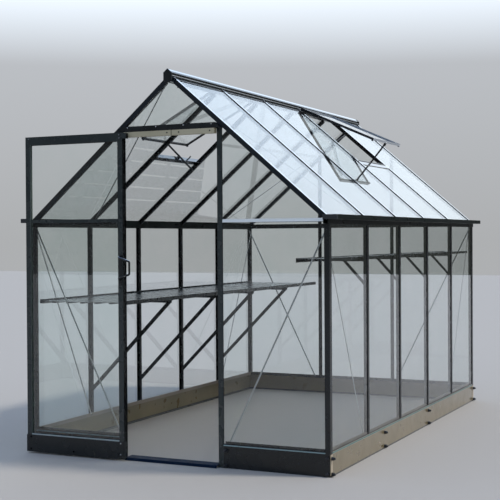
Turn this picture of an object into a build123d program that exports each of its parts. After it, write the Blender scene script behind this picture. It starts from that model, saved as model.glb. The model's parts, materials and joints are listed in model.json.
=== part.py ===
from build123d import *
from math import atan, cos, degrees, radians, sin
import os

# Glazed garden greenhouse, millimetres. Z is up, the door gable faces -Y.

# Overall sizes
bay_pitch = 620
bay_count = 5
end_margin = 10
half_width = 975
base_height = 122
eave_z = 1412
eave_inset = 9
roof_rise = 829
length = bay_count * bay_pitch + 2 * end_margin
eave_x = half_width - eave_inset
apex_z = eave_z + roof_rise
slope = roof_rise / eave_x
roof_angle = degrees(atan(slope))

# Reach of the door handle in front of the gable and of the gutter behind it
front_reach = 90
rear_reach = 30
y_front = -(length + front_reach + rear_reach) / 2 + front_reach
y_rear = y_front + length

# Shared section sizes
post_depth = 30
skin = 3
flange = 4
glass_t = 3
seat_t = 2
web_t = 2.5
seat_w = 24
inner_flange_w = 16
cap_w = 24
pane_gap = 4
edge_cover = 8
fit_gap = 0.3
joint_gap = 1
drip_setback = 3
bar_depth = 28
seat_depth = flange + glass_t
in_x = half_width - post_depth
bar_end_x = in_x + joint_gap

# Ridge, measured from the line where the two roof faces meet
ridge_half = 24
ridge_peak = 24
ridge_brow = 2
ridge_groove = 11
ridge_depth = 49
ridge_top = apex_z + ridge_peak
ridge_shoulder = apex_z + ridge_brow
groove_low = apex_z - ridge_groove
ridge_low = apex_z - ridge_depth
groove_half = 13
ridge_cap_margin = 2
ridge_cap_drop = 6
ridge_cap_chamfer = 1.5

# Gables
door_post_in = 300
door_post_w = 31
door_post_depth = 18
door_post_step = 9
door_post_rebate = 10
door_post_out = door_post_in + door_post_w
rear_post_x = 312
front_bar_drop = 11
front_bar_h = 18
rear_bar_drop = 3
rear_bar_h = 36
front_bar_high = eave_z - front_bar_drop
front_bar_low = front_bar_high - front_bar_h
rear_bar_high = eave_z - rear_bar_drop
rear_bar_low = rear_bar_high - rear_bar_h

# Eave beam and gutter
eave_beam_h = 42
gutter_drop = 18
gutter_rise = 8
gutter_w = 56
eave_low = eave_z - eave_beam_h
gutter_floor = eave_z - gutter_drop
gutter_top = eave_z + gutter_rise
gutter_out = half_width + gutter_w
gutter_wall = 2.5
gutter_reach = 20
gutter_bead = 7

# Wall glass and sills
sill_lip_h = 14
sill_h = 24
wall_glass_drop = 26
sill_lip = base_height + sill_lip_h
sill_high = base_height + sill_h
wall_glass_top = eave_z - wall_glass_drop

# Threshold between the door posts
threshold_h = 17
threshold_reach = 60
threshold_ramp = 8
threshold_nose = 3

# Door, shown pushed open to the left
door_width = 683
door_lap = 15
door_right = door_lap - door_post_in
door_left = door_right - door_width
door_back = 36
door_depth = 24
door_front = door_back + door_depth
door_low = 10
stile_w = 33
stile_wall = 2.5
groove_depth = 9
pane_set_back = 10
low_rail_h = 26
mid_rail_low = 86
mid_rail_h = 26
kick_high = 113
kick_t = 3
kick_over = 4
door_bar_drop = 20
door_bar_low = eave_z - door_bar_drop
door_bar_h = 19
door_bar_web = 2

# Door head and the track below it
track_rise = 502
track_joint = 24
track_h = 30
track_front = 30
track_back = 2
track_wall = 2
track_slot = 12
track_over = 5
head_h = 32
door_head_h = 50
track_high = eave_z + track_rise
track_low = track_high - track_h
head_high = track_high + head_h
door_head_high = track_high - skin
door_head_low = door_head_high - door_head_h

# Door handle, hangers and the guide block on the leading corner
handle_r = 6
handle_bend = 9
handle_inset = 17
handle_side_reach = 74
handle_mid_z = 1125
handle_foot = 67
handle_shoulder = 61
handle_grip = 37
handle_plate_left = 10
handle_plate_right = 12
handle_plate_high = 77
handle_plate_low = 103
hanger_reach = 230
hanger_half = 12
hanger_t = 2
hanger_foot = 4
roller_r = 9
roller_w = 14
roller_gap = 0.4
guide_w = 26
guide_h = 31
guide_inset = 4

# Roof vents
vent_length = 600
vent_rail = 20
vent_bay_left = 1
vent_bay_right = 3
left_open_angle = 12.5
right_open_angle = 16.8
hinge_x = 32
hinge_lift = 2
vent_floor = 1
vent_web = 3
vent_h = 17
vent_seat = 6
vent_key = 12
vent_key_drop = 5
lug_inset = 12
lug_drop = 12
vent_overhang = 17
vent_sill_in = hinge_x + vent_length * cos(radians(roof_angle)) - vent_overhang
vent_sill_w = 26
vent_sill_depth = 26
vent_sill_lip = 8
vent_upstand = 4
peg_inset = 1
peg_w = 8
peg_pitch = 160
stay_w = 12
stay_over = 10
stay_rise = 37
left_stay_length = 259
right_stay_length = 328

# Bench along the left wall, narrow shelf along the right wall
slat_t = 10
furniture_back_x = half_width - 35
furniture_end = 40
bench_top_z = 915
bench_depth = 600
bench_slat_count = 6
bench_slat_gap = 12
bench_fascia_up = 11
bench_fascia_h = 24
bench_ledge = 32
bench_arm_h = 18
bench_strut_drop = 599
bench_strut_w = 25
bench_strut_t = 20
bench_strut_inset = 8
shelf_top_z = 1178
shelf_depth = 178
shelf_slat_count = 3
shelf_slat_gap = 8
shelf_fascia_up = 4
shelf_fascia_h = 24
shelf_ledge = 20
shelf_arm_h = 12
shelf_strut_drop = 138
shelf_strut_w = 14
shelf_strut_inset = 55

# Flat braces
brace_w = 9
brace_t = 2
brace_end = 12
brace_top_drop = 42
brace_side_start = 20
brace_side_end = 25
brace_gable_start = 22
brace_roof_start = 46
brace_roof_inset = 16


def xz(y):
    return Plane(origin=(0, y, 0), x_dir=(1, 0, 0), z_dir=(0, -1, 0))


def yz(x):
    return Plane(origin=(x, 0, 0), x_dir=(0, 1, 0), z_dir=(1, 0, 0))


def roof_z(x, v=0):
    return apex_z - slope * abs(x) + v / cos(radians(roof_angle))


def roof_x(z, v=0):
    return (roof_z(0, v) - z) / slope


def bar_y(k):
    return y_front + length / 2 + (k - bay_count / 2) * bay_pitch


def rect(a0, a1, b0, b1, mode=Mode.ADD):
    with Locations(((a0 + a1) / 2, (b0 + b1) / 2)):
        Rectangle(abs(a1 - a0), abs(b1 - b0), mode=mode)


def along_x(x0, x1, *rects):
    with BuildSketch(yz(x0)) as profile:
        for r in rects:
            rect(*r)
    extrude(profile.sketch, amount=x1 - x0)


def along_y(y0, y1, *rects):
    with BuildSketch(xz(y1)) as profile:
        for r in rects:
            rect(*r)
    extrude(profile.sketch, amount=y1 - y0)


def along_z(z0, z1, *rects):
    with BuildSketch(Plane.XY.offset(z0)) as profile:
        for r in rects:
            rect(*r)
    extrude(profile.sketch, amount=z1 - z0)


def outline(plane, amount, *points, mode=Mode.ADD):
    with BuildSketch(plane) as profile:
        with BuildLine():
            Polyline(*points, close=True)
        make_face()
    extrude(profile.sketch, amount=amount, mode=mode)


def outline_y(y0, y1, *points, mode=Mode.ADD):
    outline(xz(y1), y1 - y0, *points, mode=mode)


def slope_strip(x0, x1, v0, v1, y0, y1):
    outline_y(
        y0,
        y1,
        (x0, roof_z(x0, v0)),
        (x1, roof_z(x1, v0)),
        (x1, roof_z(x1, v1)),
        (x0, roof_z(x0, v1)),
    )


def finish(part, label):
    part.label = label
    export_step(part, f"parts/{label}.step")


def both_sides():
    mirror(about=Plane.YZ)


def both_ends():
    mirror(about=xz(y_front + length / 2))


# Cuts off what stands above a line parallel to the roof, on the right side
def trim_under_roof(v=-bar_depth):
    outline_y(
        y_front - rear_reach,
        y_rear + rear_reach,
        (0, roof_z(0, v)),
        (half_width, roof_z(half_width, v)),
        (half_width, ridge_top),
        (0, ridge_top),
        mode=Mode.SUBTRACT,
    )


os.makedirs("parts", exist_ok=True)

# Base rails: folded channels with top and bottom flanges turned inwards
with BuildPart() as side_rails:
    along_y(y_front, y_rear, (half_width - skin, half_width, 0, base_height))
    along_y(
        y_front + skin,
        y_rear - skin,
        (in_x, half_width - skin, base_height - skin, base_height),
        (in_x, half_width - skin, 0, skin),
    )
    both_sides()
finish(side_rails.part, "base_side_rails")


def gable_rail(x0, x1, x2):
    along_x(x0, x2, (y_front, y_front + skin, 0, base_height))
    along_x(
        x0,
        x1,
        (y_front + skin, y_front + post_depth, base_height - skin, base_height),
        (y_front + skin, y_front + post_depth, 0, skin),
    )


with BuildPart() as front_rails:
    gable_rail(door_post_out, in_x, half_width - skin)
    both_sides()
finish(front_rails.part, "base_front_rails")

with BuildPart() as rear_rail:
    along_x(skin - half_width, half_width - skin, (y_rear - skin, y_rear, 0, base_height))
    along_x(
        -in_x,
        in_x,
        (y_rear - post_depth, y_rear - skin, base_height - skin, base_height),
        (y_rear - post_depth, y_rear - skin, 0, skin),
    )
finish(rear_rail.part, "base_rear_rail")

# Threshold: an open-bottomed extrusion with a small nose and a sloping rear edge
with BuildPart() as threshold:
    t0 = y_front - track_front
    t1 = y_front + threshold_reach
    outline(
        yz(-door_post_in),
        2 * door_post_in,
        (t0, 0),
        (t0, threshold_h - threshold_nose),
        (t0 + threshold_nose, threshold_h),
        (t1 - threshold_ramp, threshold_h),
        (t1, threshold_h - threshold_ramp),
        (t1, 0),
        (t1 - skin, 0),
        (t1 - skin, threshold_h - threshold_ramp - skin / 2),
        (t1 - threshold_ramp - skin / 2, threshold_h - skin),
        (t0 + skin, threshold_h - skin),
        (t0 + skin, 0),
    )
finish(threshold.part, "door_threshold")

# Corner posts: a box tube with two outer flanges that cover the glass edges
with BuildPart() as corner_posts:
    with BuildSketch(Plane.XY.offset(base_height)):
        rect(in_x, half_width, y_front, y_front + flange)
        rect(half_width - flange, half_width, y_front + flange, y_front + post_depth)
        rect(
            half_width - seat_depth - seat_t,
            half_width - flange,
            y_front + flange,
            y_front + seat_depth + seat_t,
        )
        rect(in_x, half_width - seat_depth, y_front + seat_depth, y_front + post_depth)
        rect(
            in_x + seat_t,
            half_width - seat_depth - seat_t,
            y_front + seat_depth + seat_t,
            y_front + post_depth - seat_t,
            Mode.SUBTRACT,
        )
    extrude(amount=eave_low - base_height)
    both_sides()
    both_ends()
finish(corner_posts.part, "corner_posts")

# Door posts, cut off along the underside of the rafters
box_in = door_post_in + door_post_step
box_out = door_post_out - door_post_rebate
with BuildPart() as door_posts:
    with BuildSketch(Plane.XY):
        rect(door_post_in, door_post_out, y_front, y_front + flange)
        rect(box_in, box_out, y_front + flange, y_front + door_post_depth)
        rect(box_out, door_post_out, y_front + seat_depth, y_front + seat_depth + seat_t)
        rect(
            box_in + seat_t,
            box_out - seat_t,
            y_front + flange + seat_t,
            y_front + door_post_depth - seat_t,
            Mode.SUBTRACT,
        )
    extrude(amount=apex_z)
    trim_under_roof()
    both_sides()
finish(door_posts.part, "door_posts")


# Glazing bar section: the stub between two panes, the seat, the web and the inner flange.
# Widths are taken across the bar, depths inwards from the outer face.
def bar_rects(centre):
    return (
        (centre - web_t / 2, centre + web_t / 2, flange, seat_depth + seat_t),
        (centre - seat_w / 2, centre + seat_w / 2, seat_depth, seat_depth + seat_t),
        (centre - web_t / 2, centre + web_t / 2, seat_depth + seat_t, post_depth - seat_t),
        (
            centre - inner_flange_w / 2,
            centre + inner_flange_w / 2,
            post_depth - seat_t,
            post_depth,
        ),
    )


def wall_bar_rects(centre):
    return [(half_width - d1, half_width - d0, a0, a1) for a0, a1, d0, d1 in bar_rects(centre)]


def rear_bar_rects(centre):
    return [(a0, a1, y_rear - d1, y_rear - d0) for a0, a1, d0, d1 in bar_rects(centre)]


with BuildPart() as wall_bars:
    for k in range(1, bay_count):
        rects = wall_bar_rects(bar_y(k))
        along_z(base_height + skin, sill_high, *rects[:2])
        along_z(sill_high, eave_low, *rects)
    both_sides()
finish(wall_bars.part, "side_wall_bars")

with BuildPart() as rear_posts:
    rects = rear_bar_rects(rear_post_x)
    along_z(base_height + skin, sill_high, *rects[:2])
    along_z(sill_high, apex_z, *rects)
    trim_under_roof()
    both_sides()
finish(rear_posts.part, "rear_gable_posts")


# Sills: channels on the base, with an outer lip that slopes to shed water.
# Points run across the sill, inwards from the outer face, and up.
def sill_points():
    return (
        (0, base_height),
        (post_depth, base_height),
        (post_depth, sill_high),
        (post_depth - skin, sill_high),
        (post_depth - skin, base_height + skin),
        (flange, base_height + skin),
        (flange, sill_lip),
        (drip_setback, sill_lip),
        (0, base_height + skin),
    )


with BuildPart() as side_sills:
    outline_y(
        y_front + post_depth,
        y_rear - post_depth,
        *[(half_width - depth, z) for depth, z in sill_points()],
    )
    both_sides()
finish(side_sills.part, "side_sills")


def gable_sill(x0, x1, y_out, inward):
    outline(yz(x0), x1 - x0, *[(y_out + inward * depth, z) for depth, z in sill_points()])


with BuildPart() as gable_sills:
    gable_sill(door_post_out, in_x, y_front, 1)
    both_sides()
    gable_sill(-in_x, in_x, y_rear, -1)
finish(gable_sills.part, "gable_sills")

# Eave beams with the gutter trough on the outside
wall_x = bar_end_x + skin
lip_x = half_width - seat_depth - seat_t
leg_x = half_width - flange
with BuildPart() as gutters:
    outline_y(
        y_front - gutter_reach,
        y_rear + gutter_reach,
        (bar_end_x, eave_low),
        (lip_x, eave_low),
        (lip_x, eave_low + skin),
        (wall_x, eave_low + skin),
        (wall_x, gutter_floor),
        (leg_x, gutter_floor),
        (leg_x, eave_low),
        (half_width, eave_low),
        (half_width, gutter_floor),
        (gutter_out, gutter_floor),
        (gutter_out, gutter_top),
        (gutter_out - gutter_bead, gutter_top),
        (gutter_out - gutter_bead, gutter_top - gutter_wall),
        (gutter_out - gutter_wall, gutter_top - gutter_wall),
        (gutter_out - gutter_wall, gutter_floor + gutter_wall),
        (wall_x, gutter_floor + gutter_wall),
        (wall_x, roof_z(wall_x, -seat_depth)),
        (bar_end_x, roof_z(bar_end_x, -seat_depth)),
    )
    both_sides()
finish(gutters.part, "eave_gutters")

# End caps that close the gutter troughs
with BuildPart() as gutter_caps:
    outline_y(
        y_front - rear_reach,
        y_front - gutter_reach,
        (bar_end_x, gutter_floor),
        (gutter_out, gutter_floor),
        (gutter_out, gutter_top),
        (bar_end_x, gutter_top),
    )
    fillet(gutter_caps.edges().filter_by(Axis.Y), radius=skin)
    chamfer(gutter_caps.faces().sort_by(Axis.Y)[0].edges(), length=ridge_cap_chamfer)
    both_sides()
    both_ends()
finish(gutter_caps.part, "gutter_end_caps")

# Gable rafters: a deep front web, a cap and a seat that hold the roof glass, a boxed back
with BuildPart() as rafters:
    slope_strip(ridge_half, bar_end_x, -bar_depth, 0, y_front, y_front + flange)
    slope_strip(bar_end_x, eave_x, -seat_depth, 0, y_front, y_front + flange)
    slope_strip(ridge_half, eave_x, -flange, 0, y_front + flange, y_front + seat_w)
    slope_strip(
        ridge_half,
        bar_end_x,
        -seat_depth - seat_t,
        -seat_depth,
        y_front + flange,
        y_front + seat_w,
    )
    slope_strip(
        ridge_half,
        bar_end_x,
        -bar_depth,
        seat_t - bar_depth,
        y_front + seat_depth + fit_gap,
        y_front + seat_w,
    )
    slope_strip(
        ridge_half,
        bar_end_x,
        seat_t - bar_depth,
        -seat_depth - seat_t,
        y_front + seat_w - seat_t,
        y_front + seat_w,
    )
    both_sides()
    both_ends()
finish(rafters.part, "gable_rafters")

# Roof glazing bars; those beside a vent are the same section
with BuildPart() as roof_bars:
    for k in range(1, bay_count):
        for a0, a1, d0, d1 in bar_rects(bar_y(k)):
            top = max(d0, flange)
            low = d1 + bar_depth - post_depth if d1 > seat_depth + seat_t else d1
            high = top + bar_depth - post_depth if top > seat_depth + seat_t else top
            slope_strip(ridge_half, bar_end_x, -low, -high, a0, a1)
    both_sides()
finish(roof_bars.part, "roof_bars")

# Ridge beam: hollow, a house-shaped head over a groove and a deep box below
ridge_pitch = (ridge_top - ridge_shoulder) / ridge_half
core_half = groove_half - skin
core_top = ridge_top - skin * (1 + ridge_pitch**2) ** 0.5
right_half = (
    (ridge_half, ridge_shoulder),
    (ridge_half, ridge_shoulder - skin),
    (groove_half, ridge_shoulder - skin),
    (groove_half, groove_low),
    (ridge_half, groove_low),
    (ridge_half, ridge_low + skin),
    (ridge_half - skin, ridge_low),
)
core_points = (
    (core_half, core_top - core_half * ridge_pitch),
    (core_half, groove_low - skin),
    (ridge_half - skin, groove_low - skin),
    (ridge_half - skin, ridge_low + skin),
)


def symmetric(top, points):
    return [(0, top), *points, *[(-x, z) for x, z in reversed(points)]]


with BuildPart() as ridge:
    y0 = y_front - gutter_reach
    y1 = y_rear + gutter_reach
    outline_y(y0, y1, *symmetric(ridge_top, right_half))
    outline_y(y0, y1, *symmetric(core_top, core_points), mode=Mode.SUBTRACT)
finish(ridge.part, "ridge_beam")

cap_half = ridge_half + ridge_cap_margin
cap_points = (
    (cap_half, ridge_shoulder + ridge_cap_margin),
    (cap_half, ridge_low + ridge_cap_drop),
    (cap_half - 2 * ridge_cap_drop, ridge_low - ridge_cap_drop),
)
with BuildPart() as ridge_caps:
    outline_y(
        y_front - rear_reach,
        y_front - gutter_reach,
        *symmetric(ridge_top + ridge_cap_margin, cap_points),
    )
    chamfer(ridge_caps.faces().sort_by(Axis.Y)[0].edges(), length=ridge_cap_chamfer)
    both_ends()
finish(ridge_caps.part, "ridge_end_caps")


# Eave-level crossbars in the gables: a sloping outer face, a web and an inner flange,
# with the ends cut off under the rafters
def crossbar(x0, x1, y_out, inward, z0, z1):
    mid = (z0 + z1) / 2
    section = (
        (0, z0),
        (flange, z0),
        (flange, mid - seat_t / 2),
        (post_depth - seat_t, mid - seat_t / 2),
        (post_depth - seat_t, z0),
        (post_depth, z0),
        (post_depth, z1),
        (post_depth - seat_t, z1),
        (post_depth - seat_t, mid + seat_t / 2),
        (flange, mid + seat_t / 2),
        (flange, z1),
        (drip_setback, z1),
    )
    outline(yz(x0), x1 - x0, *[(y_out + inward * depth, z) for depth, z in section])


with BuildPart() as crossbars:
    crossbar(door_post_out, in_x, y_front, 1, front_bar_low, front_bar_high)
    crossbar(rear_post_x + seat_w / 2, in_x, y_rear, -1, rear_bar_low, rear_bar_high)
    trim_under_roof()
    both_sides()
    crossbar(
        seat_w / 2 - rear_post_x,
        rear_post_x - seat_w / 2,
        y_rear,
        -1,
        rear_bar_low,
        rear_bar_high,
    )
finish(crossbars.part, "gable_crossbars")

# Door head: a hollow bar over the doorway that carries the track
track_x = roof_x(track_high, -bar_depth)
head_x = roof_x(head_high, -bar_depth)
with BuildPart() as head:
    outline_y(
        y_front - track_front,
        y_front,
        (-track_x, track_high),
        (track_x, track_high),
        (head_x, head_high),
        (-head_x, head_high),
    )
    outline_y(
        y_front,
        y_front + flange,
        (-door_post_in, track_high - skin),
        (door_post_in, track_high - skin),
        (door_post_in, head_high),
        (-door_post_in, head_high),
    )
    outline(
        yz(-half_width),
        2 * half_width,
        (y_front - track_front + skin, track_high + skin),
        (y_front - skin, track_high + skin),
        (y_front - skin, head_high - skin),
        (y_front - track_front + skin, head_high - skin),
        mode=Mode.SUBTRACT,
    )
finish(head.part, "door_head")

# Door track: pale channel open along its underside, in two lengths
slot_mid = y_front - (track_front + track_back) / 2


def track_length(x0, x1):
    with BuildSketch(yz(x0)) as profile:
        rect(y_front - track_front, y_front - track_back, track_low, track_high)
        rect(
            y_front - track_front + track_wall,
            y_front - track_back - track_wall,
            track_low + track_wall,
            track_high - track_wall,
            Mode.SUBTRACT,
        )
        rect(
            slot_mid - track_slot / 2,
            slot_mid + track_slot / 2,
            track_low,
            track_low + track_wall,
            Mode.SUBTRACT,
        )
    extrude(profile.sketch, amount=x1 - x0)


with BuildPart() as track:
    track_length(door_left + track_over, track_joint - joint_gap)
    track_length(track_joint + joint_gap, door_post_in)
finish(track.part, "door_track")

# Gable glass: panes tucked behind the flanges of posts, sills and rafters
post_cover = door_post_out - edge_cover
corner_cover = in_x + edge_cover
pane_low = base_height + skin
glass_v = edge_cover - bar_depth
ridge_clear = ridge_low - joint_gap


def wall_pane(y0, x0, top):
    outline_y(
        y0,
        y0 + glass_t,
        (x0, pane_low),
        (corner_cover, pane_low),
        (corner_cover, eave_low),
        (in_x, eave_low),
        (in_x, top),
        (x0, top),
    )


front_bar_mid = (front_bar_low + front_bar_high) / 2
rear_bar_mid = (rear_bar_low + rear_bar_high) / 2
with BuildPart() as front_glass:
    g0 = y_front + flange
    wall_pane(g0, post_cover, front_bar_mid - seat_t)
    along_y(
        g0,
        g0 + glass_t,
        (post_cover, in_x, front_bar_mid + seat_t, apex_z),
        (0, door_post_in - seat_t, head_high - edge_cover, ridge_clear),
    )
    trim_under_roof(glass_v)
    both_sides()
finish(front_glass.part, "front_gable_glass")

with BuildPart() as rear_glass:
    g0 = y_rear - seat_depth
    edge = rear_post_x + pane_gap
    inner = rear_post_x - pane_gap
    wall_pane(g0, edge, rear_bar_mid - seat_t)
    along_y(
        g0,
        g0 + glass_t,
        (edge, in_x, rear_bar_mid + seat_t, apex_z),
        (0, inner, rear_bar_mid + seat_t, ridge_clear),
        (0, inner, pane_low, rear_bar_mid - seat_t),
    )
    trim_under_roof(glass_v)
    both_sides()
finish(rear_glass.part, "rear_gable_glass")


def pane_ends(k, end_gap):
    y0 = y_front + end_gap if k == 0 else bar_y(k) + pane_gap
    y1 = y_rear - end_gap if k == bay_count - 1 else bar_y(k + 1) - pane_gap
    return y0, y1


with BuildPart() as wall_glass:
    for k in range(bay_count):
        y0, y1 = pane_ends(k, post_depth - edge_cover)
        along_y(y0, y1, (half_width - seat_depth, half_width - flange, pane_low, wall_glass_top))
    both_sides()
finish(wall_glass.part, "side_wall_glass")

# Roof glass: full panes, and short panes below the two vents
vent_sill_out = vent_sill_in + vent_sill_w
with BuildPart() as roof_glass:
    for side, vent_bay in ((-1, vent_bay_left), (1, vent_bay_right)):
        for k in range(bay_count):
            y0, y1 = pane_ends(k, flange + fit_gap)
            start = vent_sill_out + seat_t if k == vent_bay else ridge_half + joint_gap
            slope_strip(side * start, side * eave_x, -seat_depth, -flange, y0, y1)
finish(roof_glass.part, "roof_glass")

# Bar cappings that clamp the panes
with BuildPart() as roof_caps:
    for k in range(1, bay_count):
        y = bar_y(k)
        slope_strip(ridge_half + joint_gap, eave_x, -flange, 0, y - cap_w / 2, y + cap_w / 2)
    both_sides()
finish(roof_caps.part, "roof_glazing_caps")

with BuildPart() as wall_caps:
    for k in range(1, bay_count):
        y = bar_y(k)
        along_z(
            sill_lip,
            eave_low,
            (half_width - flange, half_width, y - cap_w / 2, y + cap_w / 2),
        )
    along_y(
        y_rear - flange,
        y_rear,
        (rear_post_x - cap_w / 2, rear_post_x + cap_w / 2, sill_lip, rear_bar_low),
        (rear_post_x - cap_w / 2, rear_post_x + cap_w / 2, rear_bar_high, apex_z),
    )
    trim_under_roof()
    both_sides()
finish(wall_caps.part, "wall_glazing_caps")


# Roof vents: rebated frames hinged at the ridge and propped open
hinge_z = roof_z(hinge_x, hinge_lift)
vent_half = bay_pitch / 2 - pane_gap
lug_x = vent_length - lug_inset


def vent_plane(side, open_angle, bay):
    a = radians(roof_angle - open_angle)
    return Plane(
        origin=(side * hinge_x, (bar_y(bay) + bar_y(bay + 1)) / 2, hinge_z),
        x_dir=(side * cos(a), 0, -sin(a)),
        z_dir=(side * sin(a), 0, cos(a)),
    )


def ring(plane, x0, x1, half, inset, height):
    with BuildSketch(plane) as profile:
        rect(x0, x1, -half, half)
        rect(x0 + inset, x1 - inset, inset - half, half - inset, Mode.SUBTRACT)
    extrude(profile.sketch, amount=height)


def vent(label, side, open_angle, bay):
    base = vent_plane(side, open_angle, bay)
    seat_high = vent_floor + vent_seat
    with BuildPart() as frame:
        ring(base.offset(vent_floor), 0, vent_length, vent_half, vent_web, vent_h)
        ring(
            base.offset(seat_high - seat_t),
            vent_web,
            vent_length - vent_web,
            vent_half - vent_web,
            vent_rail - vent_web,
            seat_t,
        )
        with BuildSketch(base.offset(-lug_drop - brace_w)):
            rect(lug_x - brace_w, vent_length - vent_web, skin / 2, skin + skin / 2)
        extrude(amount=seat_high - seat_t + lug_drop + brace_w)
        with BuildSketch(base.offset(-vent_key_drop)):
            with Locations((vent_length - vent_key / 2, 0)):
                with GridLocations(0, 2 * vent_half - vent_key, 1, 2):
                    Rectangle(vent_key, vent_key)
        extrude(amount=vent_key_drop + seat_high - seat_t)
    finish(frame.part, f"{label}_vent_frame")
    with BuildPart() as glass:
        edge = vent_web + joint_gap
        with BuildSketch(base.offset(seat_high)):
            rect(edge, vent_length - edge, edge - vent_half, vent_half - edge)
        extrude(amount=glass_t)
    finish(glass.part, f"{label}_vent_glass")


vent("left", -1, left_open_angle, vent_bay_left)
vent("right", 1, right_open_angle, vent_bay_right)


# Each stay hangs from the lug on its vent and rests on a peg of the vent sill.
# Its line is given by the point over the sill, its lower end by its length.
def stay_line(side, open_angle, bay, stay_length):
    plane = vent_plane(side, open_angle, bay)
    top = plane.from_local_coords(Vector(lug_x, 0, -lug_drop))
    rest_x = side * (vent_sill_in + stay_over)
    rest = Vector(rest_x, plane.origin.Y, roof_z(rest_x) + stay_rise)
    run = (rest - top).normalized() * stay_length
    return top, top + run, plane.origin.Y


# A point given by its distance down the slope and its height square to the roof
def roof_point(side, down, up):
    a = radians(roof_angle)
    return side * (down * cos(a) + up * sin(a)), apex_z - down * sin(a) + up * cos(a)


vents = (
    (-1, left_open_angle, vent_bay_left, left_stay_length),
    (1, right_open_angle, vent_bay_right, right_stay_length),
)
# Vent sill: an upright inner wall with a lip, a flashing over the pane below and its seat
with BuildPart() as vent_sills:
    u0 = vent_sill_in / cos(radians(roof_angle))
    u1 = vent_sill_out / cos(radians(roof_angle))
    low = -vent_sill_depth
    seat = -seat_depth
    section = (
        (u0, vent_upstand),
        (u0 + seat_t, vent_upstand),
        (u0 + seat_t, 0),
        (u1 + edge_cover, 0),
        (u1 + edge_cover, -flange),
        (u1, -flange),
        (u1, seat),
        (u1 + edge_cover, seat),
        (u1 + edge_cover, seat - seat_t),
        (u1 - seat_t, seat - seat_t),
        (u1 - seat_t, -flange),
        (u0 + seat_t, -flange),
        (u0 + seat_t, low + seat_t),
        (u0 + vent_sill_lip, low + seat_t),
        (u0 + vent_sill_lip, low),
        (u0, low),
    )
    for side, angle, bay, stay_length in vents:
        y0 = bar_y(bay) + seat_w / 2
        y1 = bar_y(bay + 1) - seat_w / 2
        outline_y(y0, y1, *[roof_point(side, u, v) for u, v in section])
        top, end, mid = stay_line(side, angle, bay, stay_length)
        along = (end - top).normalized()
        up = Vector(side * along.Z, 0, -side * along.X)
        foot_x, foot_z = roof_point(side, u0 + peg_inset, -seat_t)
        foot = Vector(foot_x, mid, foot_z)
        half = along * (peg_w / 2)
        tip = foot + up * ((top - foot).dot(up) + stay_w / 2 + skin)
        corners = (foot - half, foot + half, tip + half, tip - half)
        for peg_y in (mid + side * skin, mid + side * skin + peg_pitch):
            outline_y(peg_y - skin / 2, peg_y + skin / 2, *[(p.X, p.Z) for p in corners])
finish(vent_sills.part, "vent_sills")

with BuildPart() as stays:
    for side, angle, bay, stay_length in vents:
        top, end, mid = stay_line(side, angle, bay, stay_length)
        run = end - top
        with BuildSketch(xz(mid + skin / 2)):
            with Locations(((top.X + end.X) / 2, (top.Z + end.Z) / 2)):
                SlotCenterToCenter(run.length, stay_w, rotation=degrees(atan(run.Z / run.X)))
        extrude(amount=skin)
finish(stays.part, "vent_stays")


# Flat diagonal braces inside the glass
def brace(plane, a0, b0, a1, b1):
    run = Vector(a1 - a0, b1 - b0)
    with BuildSketch(plane) as profile:
        with Locations(((a0 + a1) / 2, (b0 + b1) / 2)):
            SlotCenterToCenter(run.length, brace_w, rotation=degrees(atan(run.Y / run.X)))
    extrude(profile.sketch, amount=brace_t)


brace_low = (base_height + skin + sill_high) / 2
with BuildPart() as gable_braces:
    brace(
        xz(y_front + post_depth + brace_t),
        in_x + brace_w,
        eave_low - brace_end,
        door_post_out + brace_gable_start,
        brace_low,
    )
    both_sides()
    both_ends()
finish(gable_braces.part, "gable_braces")

with BuildPart() as wall_braces:
    brace(
        yz(in_x - brace_t),
        y_front + brace_side_start,
        eave_low - brace_top_drop,
        bar_y(1) - brace_side_end,
        brace_low,
    )
    both_sides()
    both_ends()
finish(wall_braces.part, "side_wall_braces")

with BuildPart() as roof_braces:
    a = radians(roof_angle)
    under = Plane(
        origin=(0, 0, roof_z(0, -bar_depth - brace_t)),
        x_dir=(cos(a), 0, -sin(a)),
        z_dir=(sin(a), 0, cos(a)),
    )
    brace(
        under,
        brace_roof_start / cos(a),
        y_front + brace_roof_inset,
        (in_x - brace_side_start) / cos(a),
        bar_y(1),
    )
    both_sides()
    both_ends()
finish(roof_braces.part, "roof_braces")


# Staging: channel slats on two edge rails, carried by a bracket at each wall bar
def staging_slats(side, front_x, top_z, count, gap):
    slat_w = (furniture_back_x - front_x - 2 * skin - (count - 1) * gap) / count
    for i in range(count):
        s0 = side * (front_x + skin + i * (slat_w + gap))
        s1 = s0 + side * slat_w
        along_y(
            y_front + furniture_end,
            y_rear - furniture_end,
            (s0, s1, top_z - seat_t, top_z),
            (s0, s0 + side * seat_t, top_z - slat_t, top_z - seat_t),
            (s1, s1 - side * seat_t, top_z - slat_t, top_z - seat_t),
        )


def staging_rails(side, front_x, top_z, fascia_up, fascia_h, ledge):
    low = top_z - slat_t - skin
    high = top_z + fascia_up
    f = side * front_x
    b = side * furniture_back_x
    along_y(
        y_front + furniture_end,
        y_rear - furniture_end,
        (f, f + side * skin, high - fascia_h, high),
        (f + side * skin, f + side * ledge, low, low + skin),
    )
    along_y(
        y_front + furniture_end,
        y_rear - furniture_end,
        (b - side * skin, b, low, high),
        (b - side * ledge, b - side * skin, low, low + skin),
    )


# Arms are angles: a standing web and a flat top flange with a pad between the ledges
def staging_arms(side, front_x, arm_top, arm_h, t, ledge):
    for k in range(1, bay_count):
        y = bar_y(k)
        x0 = side * (front_x + skin)
        pad = (side * (front_x + ledge), side * (furniture_back_x - ledge), arm_top, arm_top + skin)
        along_y(y - t / 2, y - t / 2 + skin, (x0, side * in_x, arm_top - arm_h, arm_top - skin))
        along_y(y - t / 2, y + t / 2, (x0, side * in_x, arm_top - skin, arm_top), pad)


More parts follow.
